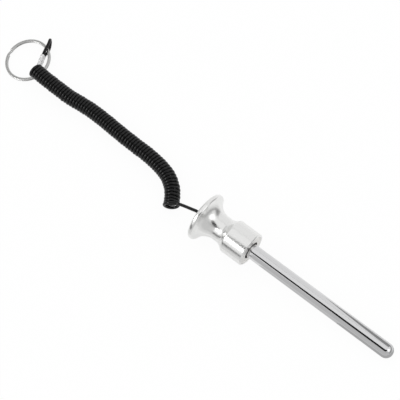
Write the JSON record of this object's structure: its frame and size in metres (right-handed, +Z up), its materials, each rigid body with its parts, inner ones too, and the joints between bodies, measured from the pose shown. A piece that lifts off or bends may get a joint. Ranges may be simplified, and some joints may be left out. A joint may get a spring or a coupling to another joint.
{
  "type": "weight stack loading pin",
  "caption": "Round steel pin with a flanged turned knob and ring magnet, on a coiled cord that ends in a crimped loop and a split ring.",
  "frame": {"origin": "on the surface that the pin lies on, under the middle of the knob and rod, cord left out", "axes": "+X along the pin towards its tip, +Z up from the surface, the cord lies towards -X"},
  "size_m": [0.3572, 0.0645, 0.0347],
  "materials": {
    "knob_steel": "turned steel, bright nickel plate",
    "rod_steel": "ground and polished steel",
    "magnet_nickel": "nickel plated magnet, satin",
    "crimp_aluminium": "plain, pressed",
    "cord_plastic": "black, smooth and glossy",
    "ring_nickel": "spring steel, bright nickel plate"
  },
  "bodies": {
    "pin": {"knob": "knob_steel", "pin_rod": "rod_steel", "ring_magnet": "magnet_nickel", "cord_stop": "crimp_aluminium", "cord_tail": "cord_plastic", "cord_coil": "cord_plastic", "cord_loop": "cord_plastic", "loop_ferrule": "crimp_aluminium"},
    "ring": {"split_ring": "ring_nickel"}
  },
  "joints": [
    {"name": "ring_turn", "type": "hinge", "parent": "pin", "child": "ring", "pos_m": [-0.26343, 0.0242, 0.00238], "axis": [-0.0381, -0.0688, 0.9969], "continuous": true}
  ]
}
